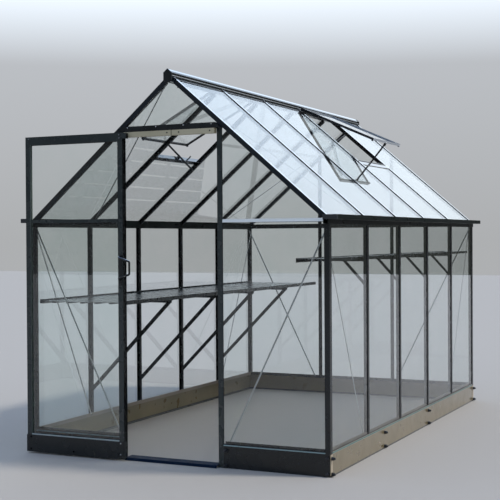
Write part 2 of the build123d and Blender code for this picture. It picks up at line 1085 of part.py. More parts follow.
# Struts are angles too, their flange along the upper edge
def staging_struts(side, top_x, top_z, low_z, w, t):
    steep = (top_z - low_z) / (in_x - top_x)
    lean = (1 + steep**2) ** 0.5
    for k in range(1, bay_count):
        y = bar_y(k)
        for y1, width in ((y - t / 2 + skin, w), (y + t / 2, skin)):
            across = width * lean / steep
            shift = (w - width) * lean / steep
            outline_y(
                y - t / 2,
                y1,
                (side * (top_x + shift), top_z),
                (side * (top_x + shift + across), top_z),
                (side * in_x, low_z + (shift + across) * steep),
                (side * in_x, low_z + shift * steep),
            )


bench_front_x = furniture_back_x - bench_depth
bench_rail_low = bench_top_z - slat_t - skin
with BuildPart() as bench_slats:
    staging_slats(-1, bench_front_x, bench_top_z, bench_slat_count, bench_slat_gap)
finish(bench_slats.part, "bench_slats")

with BuildPart() as bench_rails:
    staging_rails(-1, bench_front_x, bench_top_z, bench_fascia_up, bench_fascia_h, bench_ledge)
finish(bench_rails.part, "bench_edge_rails")

with BuildPart() as bench_arms:
    staging_arms(-1, bench_front_x, bench_rail_low, bench_arm_h, bench_strut_t, bench_ledge)
finish(bench_arms.part, "bench_arms")

with BuildPart() as bench_struts:
    strut_top = bench_rail_low - bench_arm_h
    staging_struts(
        -1,
        bench_front_x + bench_strut_inset,
        strut_top,
        strut_top - bench_strut_drop,
        bench_strut_w,
        bench_strut_t,
    )
finish(bench_struts.part, "bench_struts")

shelf_front_x = furniture_back_x - shelf_depth
shelf_rail_low = shelf_top_z - slat_t - skin
with BuildPart() as shelf_slats:
    staging_slats(1, shelf_front_x, shelf_top_z, shelf_slat_count, shelf_slat_gap)
finish(shelf_slats.part, "shelf_slats")

with BuildPart() as shelf_rails:
    staging_rails(1, shelf_front_x, shelf_top_z, shelf_fascia_up, shelf_fascia_h, shelf_ledge)
finish(shelf_rails.part, "shelf_edge_rails")

with BuildPart() as shelf_brackets:
    strut_top = shelf_rail_low - shelf_arm_h
    staging_arms(1, shelf_front_x, shelf_rail_low, shelf_arm_h, shelf_strut_w, shelf_ledge)
    staging_struts(
        1,
        shelf_front_x + shelf_strut_inset,
        strut_top,
        strut_top - shelf_strut_drop,
        shelf_strut_w,
        shelf_strut_w,
    )
finish(shelf_brackets.part, "shelf_brackets")

# Sliding door
door_mid = (door_left + door_right) / 2
d_front = y_front - door_front
d_back = y_front - door_back
pane_y0 = d_front + pane_set_back
pane_y1 = pane_y0 + glass_t
mid_rail_high = mid_rail_low + mid_rail_h
door_bar_high = door_bar_low + door_bar_h
door_bar_mid = (door_bar_low + door_bar_high) / 2

with BuildPart() as stiles:
    with BuildSketch(Plane.XY.offset(door_low)):
        rect(door_left, door_left + stile_w, d_front, d_back)
        rect(
            door_left + stile_wall,
            door_left + stile_w - groove_depth - stile_wall,
            d_front + stile_wall,
            d_back - stile_wall,
            Mode.SUBTRACT,
        )
        rect(
            door_left + stile_w - groove_depth,
            door_left + stile_w,
            pane_y0 - fit_gap,
            pane_y1 + fit_gap,
            Mode.SUBTRACT,
        )
    extrude(amount=door_head_low - door_low)
    mirror(about=yz(door_mid))
finish(stiles.part, "door_stiles")


# Door rails are box tubes; the upper two have a groove for the pane in one edge.
# A guide block stands out from the leading end of the top one.
def door_rail(x0, x1, z0, z1, groove_z0, groove_z1):
    core_low = z0 if groove_z0 > z0 else groove_z1
    core_high = z1 if groove_z1 < z1 or groove_z1 == groove_z0 else groove_z0
    with BuildSketch(yz(x0)) as profile:
        rect(d_front, d_back, z0, z1)
        rect(
            d_front + stile_wall,
            d_back - stile_wall,
            core_low + stile_wall,
            core_high - stile_wall,
            Mode.SUBTRACT,
        )
        if groove_z1 > groove_z0:
            rect(pane_y0 - fit_gap, pane_y1 + fit_gap, groove_z0, groove_z1, Mode.SUBTRACT)
    extrude(profile.sketch, amount=x1 - x0)


with BuildPart() as rails:
    rail_left = door_left + stile_w
    rail_right = door_right - stile_w
    door_rail(
        door_left,
        door_right,
        door_head_low,
        door_head_high,
        door_head_low,
        door_head_low + groove_depth,
    )
    door_rail(
        rail_left,
        rail_right,
        mid_rail_low,
        mid_rail_high,
        mid_rail_high - groove_depth,
        mid_rail_high,
    )
    door_rail(rail_left, rail_right, door_low, door_low + low_rail_h, door_low, door_low)
    along_x(
        rail_left,
        rail_right,
        (pane_y0 - skin, pane_y0, door_bar_low, door_bar_high),
        (pane_y1, pane_y1 + skin, door_bar_low, door_bar_high),
        (pane_y0, pane_y1, door_bar_mid - door_bar_web / 2, door_bar_mid + door_bar_web / 2),
    )
    guide_high = door_head_high - guide_inset
    along_x(door_right, door_right + guide_w, (d_front, d_back, guide_high - guide_h, guide_high))
finish(rails.part, "door_rails")

with BuildPart() as door_glass:
    pane_left = rail_left - edge_cover
    pane_right = rail_right + edge_cover
    low = mid_rail_high - groove_depth
    along_y(pane_y0, pane_y1, (pane_left, pane_right, low, door_bar_mid - door_bar_web))
    high = door_head_low + edge_cover
    along_y(pane_y0, pane_y1, (pane_left, pane_right, door_bar_mid + door_bar_web, high))
finish(door_glass.part, "door_glass")

with BuildPart() as kick:
    along_y(
        d_front - kick_t,
        d_front,
        (door_left - kick_over, door_right + kick_over, door_low, kick_high),
    )
    along_y(
        d_front,
        d_back,
        (door_left - kick_over, door_left - kick_over / 2, door_low, kick_high),
        (door_right + kick_over / 2, door_right + kick_over, door_low, kick_high),
    )
finish(kick.part, "door_kick_panel")

# Bow handle on the leading stile
handle_x = door_right - handle_inset
handle_out_x = handle_x + handle_side_reach
handle_y = y_front - front_reach + handle_r
with BuildPart() as handle:
    with BuildLine() as path:
        FilletPolyline(
            (handle_x, d_front - skin, handle_mid_z + handle_foot),
            (handle_x, handle_y, handle_mid_z + handle_shoulder),
            (handle_out_x, handle_y, handle_mid_z + handle_grip),
            (handle_out_x, handle_y, handle_mid_z - handle_grip),
            (handle_x, handle_y, handle_mid_z - handle_shoulder),
            (handle_x, d_front - skin, handle_mid_z - handle_foot),
            radius=handle_bend,
        )
    with BuildSketch(Plane(origin=path.line @ 0, z_dir=path.line % 0)):
        Circle(handle_r)
    sweep()
    along_y(
        d_front - skin,
        d_front,
        (
            handle_x - handle_plate_left,
            handle_x + handle_plate_right,
            handle_mid_z - handle_plate_low,
            handle_mid_z + handle_plate_high,
        ),
    )
finish(handle.part, "door_handle")

# Hangers: a foot and stem on the door, with a pair of rollers in the track
roller_z = track_low + track_wall + roller_gap + roller_r
foot_low = door_head_low + hanger_foot
with BuildPart() as hangers:
    for x in (door_mid - hanger_reach, door_mid + hanger_reach):
        stem = (x - hanger_half, x + hanger_half, foot_low, roller_z)
        foot = (x - hanger_half, x + hanger_half, foot_low, foot_low + hanger_foot)
        along_y(slot_mid - hanger_t / 2, slot_mid + hanger_t / 2, stem)
        along_y(d_back, slot_mid - hanger_t / 2, foot)
        with BuildSketch(xz(slot_mid + roller_w / 2)):
            with Locations((x, roller_z)):
                Circle(roller_r)
        extrude(amount=roller_w)
finish(hangers.part, "door_hangers")
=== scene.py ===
import json
import math

import bmesh
import bpy
from mathutils import Matrix, Vector


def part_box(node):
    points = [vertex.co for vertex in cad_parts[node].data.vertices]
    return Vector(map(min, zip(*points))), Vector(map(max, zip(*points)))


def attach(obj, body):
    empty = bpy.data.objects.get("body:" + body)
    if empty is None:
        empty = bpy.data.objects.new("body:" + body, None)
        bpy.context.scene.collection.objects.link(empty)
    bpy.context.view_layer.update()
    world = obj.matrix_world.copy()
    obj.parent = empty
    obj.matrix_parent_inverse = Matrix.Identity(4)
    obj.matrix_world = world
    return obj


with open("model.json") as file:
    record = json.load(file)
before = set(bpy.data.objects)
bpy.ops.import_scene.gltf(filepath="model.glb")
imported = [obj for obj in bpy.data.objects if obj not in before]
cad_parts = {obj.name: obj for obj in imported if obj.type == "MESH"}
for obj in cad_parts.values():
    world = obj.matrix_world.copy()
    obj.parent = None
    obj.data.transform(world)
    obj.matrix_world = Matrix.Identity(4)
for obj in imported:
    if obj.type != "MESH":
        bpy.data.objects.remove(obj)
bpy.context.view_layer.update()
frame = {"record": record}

# Camera, as fitted to the photograph (metres, degrees)
IMAGE_PX = 500
FOCAL_PX = 1128.3
SENSOR_MM = 36.0
CLIP_END = 200.0
CAM_AT = Vector((3.169, -7.204, 1.297))
CAM_YAW = math.radians(-25.171)
CAM_PITCH = math.radians(-0.631)
CAM_ROLL = math.radians(-0.351)


def corners(node):
    """Lowest and highest corner of a CAD node, to the tenth of a millimetre."""
    return [[round(v, 4) for v in corner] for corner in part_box(node)]


# Sizes of the CAD that the details sit on, from the frame (metres)
(_, Y_FRONT, BASE_H), (HALF_W, Y_REAR, EAVE_LOW) = corners("corner_posts")
(_, RIDGE_FRONT, _), (RIDGE_HALF, RIDGE_REAR, _) = corners("ridge_beam")
(DOOR_LEFT, DOOR_FRONT, _), (DOOR_RIGHT, _, PANE_TOP) = corners("door_stiles")
(KICK_LEFT, KICK_FRONT, _), (_, _, KICK_HIGH) = corners("door_kick_panel")
(_, _, TRACK_LOW), (_, _, TRACK_HIGH) = corners("door_track")
(_, _, BRACE_FOOT), (GABLE_BRACE_X, _, GABLE_BRACE_TOP) = corners("gable_braces")
(_, WALL_BRACE_Y, _), (BAR_IN, _, WALL_BRACE_TOP) = corners("side_wall_braces")
(_, ROOF_BRACE_Y, _), _ = corners("roof_braces")
POST = round(corners("base_front_rails")[1][1] - Y_FRONT, 4)
EAVE_X = corners("gable_rafters")[1][0]
PANE_X = corners("side_wall_glass")[1][0]
FLANGE = round(HALF_W - PANE_X, 4)
VENT_SILL_X = corners("vent_sills")[1][0]
BENCH_ARM_Y = corners("bench_arms")[0][1]
SHELF_ARM_Y = corners("shelf_brackets")[0][1]
SILL_LIP = corners("wall_glazing_caps")[0][2]
DOOR_POST_OUT = corners("door_posts")[1][0]
HEAD_FRONT = corners("door_head")[0][1]

# Sizes of the CAD that no box of a node gives (metres)
BAY = 0.62
BAYS = 5
APEX_Z = 2.241
EAVE_Z = 1.412
BAR_DEPTH = 0.028
CAP_W = 0.024
STILE_W = 0.033
GABLE_PANE_TOP = 1.383
ROOF_RUN = (APEX_Z - EAVE_Z) / EAVE_X
ROOF_A = math.atan(ROOF_RUN)


def bar_y(k):
    """The Y of the bar between bay k - 1 and bay k, counted from the front."""
    return (Y_FRONT + Y_REAR) / 2 + (k - BAYS / 2) * BAY


def roof_z(x, v=0.0):
    """Height of the roof face at x, or of a layer v above it."""
    return APEX_Z - ROOF_RUN * abs(x) + v / math.cos(ROOF_A)


def add_camera():
    data = bpy.data.cameras.new("photo_camera")
    data.sensor_width = SENSOR_MM
    data.lens = FOCAL_PX / IMAGE_PX * SENSOR_MM
    data.clip_end = CLIP_END
    camera = bpy.data.objects.new("photo_camera", data)
    bpy.context.scene.collection.objects.link(camera)
    level = math.cos(CAM_PITCH)
    ahead = Vector((math.sin(CAM_YAW) * level, math.cos(CAM_YAW) * level, math.sin(CAM_PITCH)))
    right = Vector((math.cos(CAM_YAW), -math.sin(CAM_YAW), 0.0))
    up = right.cross(ahead)
    c, s = math.cos(CAM_ROLL), math.sin(CAM_ROLL)
    turn = Matrix((c * right + s * up, c * up - s * right, -ahead)).transposed()
    camera.matrix_world = Matrix.Translation(CAM_AT) @ turn.to_4x4()
    bpy.context.scene.camera = camera


add_camera()
bpy.context.scene.view_settings.view_transform = "Standard"


# Node trees
class Tree:
    """Short ways to add nodes to the tree of a material or of the world."""

    def __init__(self, owner):
        owner.use_nodes = True
        self.nodes = owner.node_tree.nodes
        self.links = owner.node_tree.links

    def read(self, kind, output):
        return self.nodes.new(kind).outputs[output]

    def xyz(self, vector):
        split = self.nodes.new("ShaderNodeSeparateXYZ")
        self.links.new(vector, split.inputs["Vector"])
        return split.outputs

    def point_xyz(self):
        """X, Y and Z of a point of the part."""
        return self.xyz(self.read("ShaderNodeTexCoord", "Object"))

    def face_xyz(self):
        """X, Y and Z of the direction that a face looks in."""
        return self.xyz(self.read("ShaderNodeNewGeometry", "True Normal"))

    def noise(self, coord, scale, detail=3.0):
        node = self.nodes.new("ShaderNodeTexNoise")
        node.inputs["Scale"].default_value = scale
        node.inputs["Detail"].default_value = detail
        self.links.new(coord, node.inputs["Vector"])
        return node.outputs["Fac"]

    def ramp(self, value, stops):
        node = self.nodes.new("ShaderNodeValToRGB")
        elements = node.color_ramp.elements
        elements[0].position, elements[0].color = stops[0][0], (*stops[0][1], 1.0)
        elements[1].position, elements[1].color = stops[-1][0], (*stops[-1][1], 1.0)
        for position, colour in stops[1:-1]:
            elements.new(position).color = (*colour, 1.0)
        self.links.new(value, node.inputs["Fac"])
        return node.outputs["Color"]

    def to_range(self, value, low, high, out_low, out_high):
        node = self.nodes.new("ShaderNodeMapRange")
        node.inputs["From Min"].default_value = low
        node.inputs["From Max"].default_value = high
        node.inputs["To Min"].default_value = out_low
        node.inputs["To Max"].default_value = out_high
        self.links.new(value, node.inputs["Value"])
        return node.outputs["Result"]

    def rise(self, value, low, high):
        """A share that is 0 up to low and 1 from high on."""
        return self.to_range(value, low, high, 0.0, 1.0)

    def fall(self, value, low, high):
        """A share that is 1 up to low and 0 from high on."""
        return self.to_range(value, low, high, 1.0, 0.0)

    def both(self, a, b):
        return self.combine("MULTIPLY", a, b)

    def either(self, a, b):
        return self.combine("MAXIMUM", a, b)

    def combine(self, operation, a, b):
        node = self.nodes.new("ShaderNodeMath")
        node.operation = operation
        self.links.new(a, node.inputs[0])
        self.links.new(b, node.inputs[1])
        return node.outputs[0]

    def mix(self, share, below, above):
        """Mixes two colours, each a socket or a plain tone."""
        node = self.nodes.new("ShaderNodeMix")
        node.data_type = "RGBA"
        self.links.new(share, node.inputs["Factor"])
        for socket, colour in ((node.inputs["A"], below), (node.inputs["B"], above)):
            if isinstance(colour, tuple):
                socket.default_value = (*colour, 1.0)
            else:
                self.links.new(colour, socket)
        return node.outputs["Result"]


class Finish(Tree):
    """A material and the sockets of its shader."""

    def __init__(self, name, constants=None):
        self.material = bpy.data.materials.new(name)
        super().__init__(self.material)
        self.shader = self.nodes["Principled BSDF"].inputs
        for socket, value in (constants or {}).items():
            self.shader[socket].default_value = value

    def feed(self, socket, source):
        self.links.new(source, self.shader[socket])

    def tint(self, share, tone):
        """Lays a tone over the colour so far, as far as share goes."""
        below = self.shader["Base Color"].links[0].from_socket
        self.feed("Base Color", self.mix(share, below, tone))


# Materials
TONE_SCALE = 3.0
TONE_SPAN = (0.3, 0.7)
SMEAR_SCALE = 14.0
SMEAR_SPAN = (0.3, 0.7)
GRAIN_DEPTH = 0.0004


def coated_metal(name, dark, light, rough, grain, bump, constants=None):
    """Metal with soft shifts of tone, smears in its gloss and a fine grain."""
    finish = Finish(name, constants)
    coord = finish.read("ShaderNodeTexCoord", "Object")
    soft = finish.noise(coord, TONE_SCALE)
    tones = finish.ramp(soft, ((TONE_SPAN[0], dark), (TONE_SPAN[1], light)))
    finish.feed("Base Color", tones)
    smears = finish.noise(coord, SMEAR_SCALE)
    finish.feed("Roughness", finish.to_range(smears, *SMEAR_SPAN, *rough))
    bumps = finish.nodes.new("ShaderNodeBump")
    bumps.inputs["Strength"].default_value = bump
    bumps.inputs["Distance"].default_value = GRAIN_DEPTH
    finish.links.new(finish.noise(coord, grain, 2.0), bumps.inputs["Height"])
    finish.feed("Normal", bumps.outputs["Normal"])
    return finish


LOOKS_UP = (0.66, 0.7)
TOPS_BLEND = 0.0005


def paint_highlight_on_tops(finish, tone, above=None):
    """Makes the faces that look up, the slopes included, bright and metallic, from a height on: a
    painted highlight, the sky's reflection painted into their colour.
    """
    tops = finish.rise(finish.face_xyz()["Z"], *LOOKS_UP)
    if above is not None:
        height = finish.point_xyz()["Z"]
        tops = finish.both(tops, finish.rise(height, above - TOPS_BLEND, above + TOPS_BLEND))
    finish.tint(tops, tone)
    finish.feed("Metallic", tops)
    finish.feed("Coat Weight", tops)


RAIL_BLEND = 0.002
RAIL_FRONT = (-0.9, -0.7)
RAIL_RIGHT = (0.75, 0.85)


def paint_highlight_on_far_faces(finish, far_y, tone):
    """Lightens the front of a rail beyond far_y and the faces that look to the right: a painted
    highlight.
    """
    far = finish.rise(finish.point_xyz()["Y"], far_y, far_y + RAIL_BLEND)
    face = finish.face_xyz()
    far_front = finish.both(far, finish.fall(face["Y"], *RAIL_FRONT))
    finish.tint(finish.either(far_front, finish.rise(face["X"], *RAIL_RIGHT)), tone)


LOOKS_RIGHT = (0.7, 0.8)
SIDE_BLEND = 0.01
SHADE_TONE = (0.003, 0.0035, 0.004)
GLOSS_LIT, GLOSS_SHADED = 0.5, 0.15


def shade(finish, share):
    """Darkens and dulls, as the jamb behind the open door is in its shade."""
    finish.tint(share, SHADE_TONE)
    finish.feed("Specular IOR Level", finish.to_range(share, 0.0, 1.0, GLOSS_LIT, GLOSS_SHADED))


def shade_left(finish, below_x):
    left = finish.fall(finish.point_xyz()["X"], below_x, below_x + SIDE_BLEND)
    shade(finish, left)


def shade_right_faces(finish):
    shade(finish, finish.rise(finish.face_xyz()["X"], *LOOKS_RIGHT))


def paint_light_on_inner_face(finish, below_x, tone):
    """Lightens the faces that look to the right, on the parts to the left of below_x: painted
    sunlight.
    """
    left = finish.fall(finish.point_xyz()["X"], below_x, below_x + SIDE_BLEND)
    inner = finish.rise(finish.face_xyz()["X"], *LOOKS_RIGHT)
    finish.tint(finish.both(left, inner), tone)


BAR_FRONT = (-0.8, -0.6)
BAR_SLOPING = (0.05, 0.1)


def light_slope(finish, from_x, tone):
    """Lightens the sloping front of a bar to the right of from_x, where it mirrors the sky."""
    right = finish.rise(finish.point_xyz()["X"], from_x, from_x + SIDE_BLEND)
    face = finish.face_xyz()
    front = finish.both(right, finish.fall(face["Y"], *BAR_FRONT))
    finish.tint(finish.both(front, finish.rise(face["Z"], *BAR_SLOPING)), tone)


FOOT_SHADE_TONE = (0.008, 0.008, 0.008)
FOOT_SHADE_HIGH = 0.009
FOOT_SHADE_BLEND = 0.001


def paint_foot_shade(finish):
    """Darkens the lowest millimetres: painted shade where the part meets the ground."""
    height = finish.point_xyz()["Z"]
    finish.tint(finish.fall(height, FOOT_SHADE_HIGH - FOOT_SHADE_BLEND, FOOT_SHADE_HIGH + FOOT_SHADE_BLEND), FOOT_SHADE_TONE)


GLASS_TONES = ((0.35, (0.93, 0.965, 0.955)), (0.75, (0.965, 0.985, 0.98)))
GLASS_FILM = (0.45, 0.8, 0.0, 0.03)
CUT_EDGE = (0.55, 0.85)
EDGE_GREEN = (0.25, 0.62, 0.52)


def glass(name, across):
    """Clear horticultural glass. Its cut edges, which don't look across the pane, are green."""
    finish = Finish(name, {"Transmission Weight": 1.0, "IOR": 1.5})
    coord = finish.read("ShaderNodeTexCoord", "Object")
    clear = finish.ramp(finish.noise(coord, 5.0), GLASS_TONES)
    size = finish.nodes.new("ShaderNodeVectorMath")
    size.operation = "ABSOLUTE"
    finish.links.new(finish.read("ShaderNodeNewGeometry", "True Normal"), size.inputs[0])
    dot = finish.nodes.new("ShaderNodeVectorMath")
    dot.operation = "DOT_PRODUCT"
    finish.links.new(size.outputs["Vector"], dot.inputs[0])
    dot.inputs[1].default_value = across
    edge = finish.fall(dot.outputs["Value"], *CUT_EDGE)
    finish.feed("Base Color", finish.mix(edge, clear, EDGE_GREEN))
    film = finish.noise(coord, 2.2, 5.0)
    finish.feed("Roughness", finish.to_range(film, *GLASS_FILM))
    return finish


# Dark coat of the frame, and a lighter copy of it on the front of the door and its posts, whose
# lighter tone is painted light
PLAIN_COAT = ((0.0055, 0.0075, 0.0085), (0.010, 0.013, 0.0145), (0.2, 0.32), 500.0, 0.04)
LIT_FRONT_COAT = ((0.020, 0.028, 0.029), (0.030, 0.039, 0.039), (0.2, 0.32), 500.0, 0.04)
MIDDLE_X = 0.0
LEFT_STILE_X = -0.9
HANDLE_MID = 1.125
frame_paint = coated_metal("frame_paint", *PLAIN_COAT)
crossbar_paint = coated_metal("crossbar_paint", *PLAIN_COAT)
light_slope(crossbar_paint, MIDDLE_X, (0.9, 0.94, 0.93))
# The handle's coat gets a painted highlight on its up-facing faces above its middle
handle_paint = coated_metal("handle_paint", *PLAIN_COAT)
paint_highlight_on_tops(handle_paint, (0.6, 0.62, 0.66), HANDLE_MID)
front_paint = coated_metal("front_frame_paint", *LIT_FRONT_COAT)
shade_right_faces(front_paint)
# Painted sunlight on the inner face of the left stile
paint_light_on_inner_face(front_paint, LEFT_STILE_X, (0.15, 0.185, 0.16))
post_paint = coated_metal("door_post_paint", *LIT_FRONT_COAT)
shade_left(post_paint, MIDDLE_X)

# Glossier coats of the roof, whose upper faces mirror the sky; apart from the vent sills' coat,
# the bright tone of those faces is a painted reflection
VENT_COAT = ((0.010, 0.012, 0.014), (0.016, 0.019, 0.022), (0.07, 0.13), 300.0, 0.02)
VENT_HIGHLIGHT = (0.42, 0.44, 0.46)
FAR_RAIL_Y = 0.93
RIDGE_HIGHLIGHT_Z = 2.2535
cap_paint = coated_metal(
    "capping_paint", (0.010, 0.012, 0.014), (0.016, 0.019, 0.022), (0.05, 0.1), 300.0, 0.02,
    {"Coat Weight": 1.0, "Coat IOR": 1.8},
)
roof_paint = coated_metal(
    "roof_capping_paint", (0.011, 0.015, 0.020), (0.017, 0.022, 0.028), (0.07, 0.13), 300.0, 0.02
)
paint_highlight_on_tops(roof_paint, (0.68, 0.7, 0.72))
ridge_paint = coated_metal(
    "ridge_paint", (0.0065, 0.0085, 0.010), (0.011, 0.014, 0.016), (0.1, 0.16), 300.0, 0.02
)
paint_highlight_on_tops(ridge_paint, (0.55, 0.57, 0.59), RIDGE_HIGHLIGHT_Z)
vent_paint = coated_metal("vent_paint", *VENT_COAT)
paint_highlight_on_tops(vent_paint, VENT_HIGHLIGHT)
far_vent_paint = coated_metal("far_vent_paint", *VENT_COAT)
paint_highlight_on_tops(far_vent_paint, VENT_HIGHLIGHT)
# A painted highlight on the far rail's front and the faces that look to the right
paint_highlight_on_far_faces(far_vent_paint, FAR_RAIL_Y, (0.42, 0.46, 0.5))

# Coats of the base, sills, threshold and gutters
# The brown of the base coat is a painted reflection of the warm paving and the sun on a dark coat
base_paint = coated_metal(
    "base_paint", (0.15, 0.114, 0.052), (0.205, 0.161, 0.084), (0.26, 0.38), 300.0, 0.05,
    {"Coat Weight": 1.0, "Coat Roughness": 0.1},
)
# Painted shade along the foot, where the base meets the ground
paint_foot_shade(base_paint)
# A lighter copy of the base coat for the corner returns: painted light
lit_return_paint = coated_metal(
    "lit_corner_return_paint", (0.42, 0.34, 0.24), (0.5, 0.42, 0.31), (0.28, 0.4), 300.0, 0.05
)
# Painted shade along the foot, where the returns meet the ground
paint_foot_shade(lit_return_paint)
# The beige of the sill coat is a painted reflection on a dark coat
sill_paint = coated_metal(
    "sill_paint", (0.2, 0.17, 0.132), (0.26, 0.225, 0.18), (0.3, 0.42), 300.0, 0.05
)
gutter_paint = coated_metal(
    "gutter_paint", (0.003, 0.0055, 0.005), (0.0055, 0.009, 0.0082), (0.25, 0.4), 300.0, 0.05,
    {"Specular IOR Level": 0.1},
)
# The navy of the threshold coat is a painted reflection of the blue sky on a dark coat
threshold_paint = coated_metal(
    "threshold_paint", (0.005, 0.013, 0.033), (0.009, 0.021, 0.046), (0.4, 0.6), 120.0, 0.2,
    {"Specular IOR Level": 0.05},
)

# Bare metals
# Light strips on the ridge flanges that carry a painted highlight
ridge_highlight_finish = coated_metal(
    "ridge_highlight_metal", (0.55, 0.58, 0.6), (0.68, 0.7, 0.72), (0.2, 0.3), 300.0, 0.05,
    {"Metallic": 0.5},
)
brace_metal = coated_metal(
    "brace_metal", (0.5, 0.5, 0.48), (0.64, 0.64, 0.62), (0.3, 0.45), 400.0, 0.1,
    {"Metallic": 0.2},
)
stay_metal = coated_metal(
    "stay_metal", (0.035, 0.037, 0.04), (0.06, 0.062, 0.066), (0.25, 0.4), 400.0, 0.1,
    {"Metallic": 0.8},
)
pale_track = coated_metal(
    "pale_track", (0.46, 0.42, 0.28), (0.58, 0.53, 0.38), (0.35, 0.5), 200.0, 0.15,
    {"Metallic": 0.2},
)
bare = coated_metal(
    "bare_aluminium", (0.34, 0.34, 0.34), (0.46, 0.46, 0.46), (0.3, 0.45), 400.0, 0.15,
    {"Metallic": 1.0},
)

# Fasteners, rubber, plastic and the trims of the panes
dark_steel = coated_metal(
    "dark_fastener", (0.008, 0.009, 0.012), (0.02, 0.022, 0.027), (0.22, 0.35), 600.0, 0.1
)
zinc = coated_metal(
    "zinc_fastener", (0.62, 0.63, 0.64), (0.76, 0.77, 0.78), (0.2, 0.35), 600.0, 0.1,
    {"Metallic": 1.0},
)
black_steel = coated_metal(
    "black_fastener", (0.002, 0.0025, 0.003), (0.004, 0.0045, 0.005), (0.45, 0.6), 600.0, 0.1,
    {"Specular IOR Level": 0.05},
)
dull_steel = coated_metal(
    "dull_fastener", (0.16, 0.17, 0.19), (0.26, 0.27, 0.29), (0.25, 0.4), 600.0, 0.1,
    {"Metallic": 0.7},
)
# Dark discs and strips of painted shade for holes and the joint of the track
hole_shade = coated_metal(
    "drilled_hole_shade", (0.004, 0.004, 0.004), (0.008, 0.008, 0.008), (0.7, 0.9), 300.0, 0.1
)
rubber = coated_metal(
    "rubber_strip", (0.010, 0.010, 0.010), (0.018, 0.018, 0.018), (0.5, 0.7), 400.0, 0.2
)
end_cap = coated_metal(
    "end_cap_plastic", (0.016, 0.018, 0.021), (0.028, 0.031, 0.035), (0.35, 0.5), 300.0, 0.1
)
edge_trim = coated_metal(
    "pane_edge_trim", (0.06, 0.175, 0.175), (0.1, 0.245, 0.235), (0.12, 0.22), 300.0, 0.05
)
# Lighter copies of the pane trim for the gables and the door: painted light
lit_front_trim = coated_metal(
    "lit_front_edge_trim", (0.22, 0.33, 0.35), (0.3, 0.42, 0.43), (0.12, 0.22), 300.0, 0.05
)
lit_door_trim = coated_metal(
    "lit_door_edge_trim", (0.32, 0.39, 0.4), (0.46, 0.53, 0.53), (0.12, 0.22), 300.0, 0.05
)

gable_glass = glass("gable_glass", (0.0, 1.0, 0.0))
wall_glass = glass("wall_glass", (1.0, 0.0, 0.0))
sloping_glass = glass("sloping_glass", (math.sin(ROOF_A), 0.0, math.cos(ROOF_A)))
SLOT_FINISHES = {
    "frame_paint": frame_paint,
    "base_paint": base_paint,
    "end_cap_plastic": end_cap,
    "pale_track": pale_track,
    "bare_aluminium": bare,
}
NODE_FINISHES = {
    "front_gable_glass": gable_glass,
    "rear_gable_glass": gable_glass,
    "door_glass": gable_glass,
    "side_wall_glass": wall_glass,
    "roof_glass": sloping_glass,
    "left_vent_glass": sloping_glass,
    "right_vent_glass": sloping_glass,
    "ridge_beam": ridge_paint,
    "vent_sills": cap_paint,
    "left_vent_frame": vent_paint,
    "right_vent_frame": far_vent_paint,
    "roof_glazing_caps": roof_paint,
    "gable_rafters": roof_paint,
    "vent_stays": stay_metal,
    "gable_braces": brace_metal,
    "side_wall_braces": brace_metal,
    "side_sills": sill_paint,
    "eave_gutters": gutter_paint,
    "door_threshold": threshold_paint,
    "door_stiles": front_paint,
    "door_rails": front_paint,
    "door_posts": post_paint,
    "gable_crossbars": crossbar_paint,
    "door_handle": handle_paint,
}


def dress_nodes():
    for part in frame["record"]["subparts"]:
        node = bpy.data.objects.get(part["node"])
        if node is None:
            continue
        finish = NODE_FINISHES.get(part["node"]) or SLOT_FINISHES[part["material_slot"]]
        for slot in node.material_slots:
            slot.material = finish.material
        if not node.material_slots:
            node.data.materials.append(finish.material)


dress_nodes()


# Details: each piece is one mesh joined from repeated boxes or turned heads
WASHER_T = 0.0012
STUD_BEVEL = 0.0008
HOLE_SUNK = 0.0005
HOLE_PROUD = 0.0003


